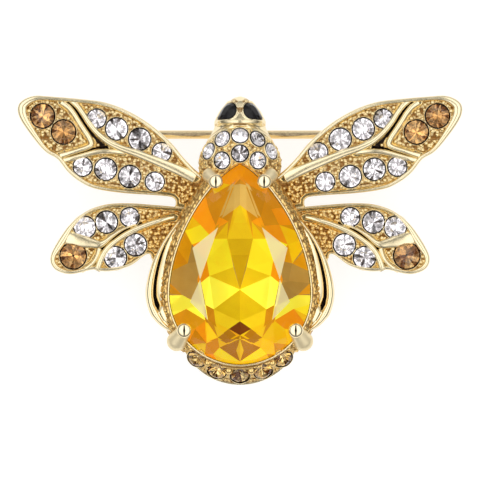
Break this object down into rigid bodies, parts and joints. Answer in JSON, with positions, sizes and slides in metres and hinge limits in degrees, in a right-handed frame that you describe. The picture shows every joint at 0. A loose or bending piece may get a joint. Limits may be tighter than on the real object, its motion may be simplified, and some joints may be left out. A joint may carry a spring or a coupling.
{
  "type": "insect brooch",
  "caption": "Bee-shaped brooch with a pear-cut centre stone, stone-set wings, thorax and tail, and a hinged pin with an open catch on its back.",
  "frame": {"origin": "under the middle of the outline, on the plane the brooch rests on", "axes": "+X across the wings, +Y towards the head, +Z out of the face"},
  "size_m": [0.0404, 0.0262, 0.0084],
  "materials": {
    "gilt_casting": "polished pale gold plate with grained stone grounds",
    "gilt_finding": "plain pale gold plate",
    "gilt_wire": "drawn and polished pale gold plate",
    "yellow_crystal": "cut and polished, foiled behind",
    "clear_crystal": "cut and polished, foiled behind",
    "topaz_crystal": "cut and polished, foiled behind",
    "black_crystal": "cut and polished, opaque"
  },
  "bodies": {
    "brooch": {"body_casting": "gilt_casting", "centre_stone": "yellow_crystal", "eye_left": "black_crystal", "eye_right": "black_crystal", "upper_wing_stone_left_1": "topaz_crystal", "upper_wing_stone_left_2": "topaz_crystal", "upper_wing_stone_left_3": "clear_crystal", "upper_wing_stone_left_4": "clear_crystal", "upper_wing_stone_left_5": "clear_crystal", "upper_wing_stone_left_6": "clear_crystal", "upper_wing_stone_left_7": "clear_crystal", "upper_wing_stone_left_8": "clear_crystal", "upper_wing_stone_left_9": "clear_crystal", "upper_wing_stone_left_10": "clear_crystal", "upper_wing_stone_right_1": "topaz_crystal", "upper_wing_stone_right_2": "topaz_crystal", "upper_wing_stone_right_3": "clear_crystal", "upper_wing_stone_right_4": "clear_crystal", "upper_wing_stone_right_5": "clear_crystal", "upper_wing_stone_right_6": "clear_crystal", "upper_wing_stone_right_7": "clear_crystal", "upper_wing_stone_right_8": "clear_crystal", "upper_wing_stone_right_9": "clear_crystal", "upper_wing_stone_right_10": "clear_crystal", "lower_wing_stone_left_1": "topaz_crystal", "lower_wing_stone_left_2": "clear_crystal", "lower_wing_stone_left_3": "clear_crystal", "lower_wing_stone_left_4": "clear_crystal", "lower_wing_stone_left_5": "clear_crystal", "lower_wing_stone_left_6": "clear_crystal", "lower_wing_stone_right_1": "topaz_crystal", "lower_wing_stone_right_2": "clear_crystal", "lower_wing_stone_right_3": "clear_crystal", "lower_wing_stone_right_4": "clear_crystal", "lower_wing_stone_right_5": "clear_crystal", "lower_wing_stone_right_6": "clear_crystal", "thorax_stones": "clear_crystal", "tail_stones": "topaz_crystal", "hinge_bracket": "gilt_finding", "hinge_rivet": "gilt_finding", "catch": "gilt_finding"},
    "pin": {"pin_stem": "gilt_wire"}
  },
  "joints": [
    {"name": "pin_swing", "type": "hinge", "parent": "brooch", "child": "pin", "pos_m": [-0.0132, 0.00958, 0.00125], "axis": [0, 1, 0], "range_deg": [0, 80]}
  ]
}
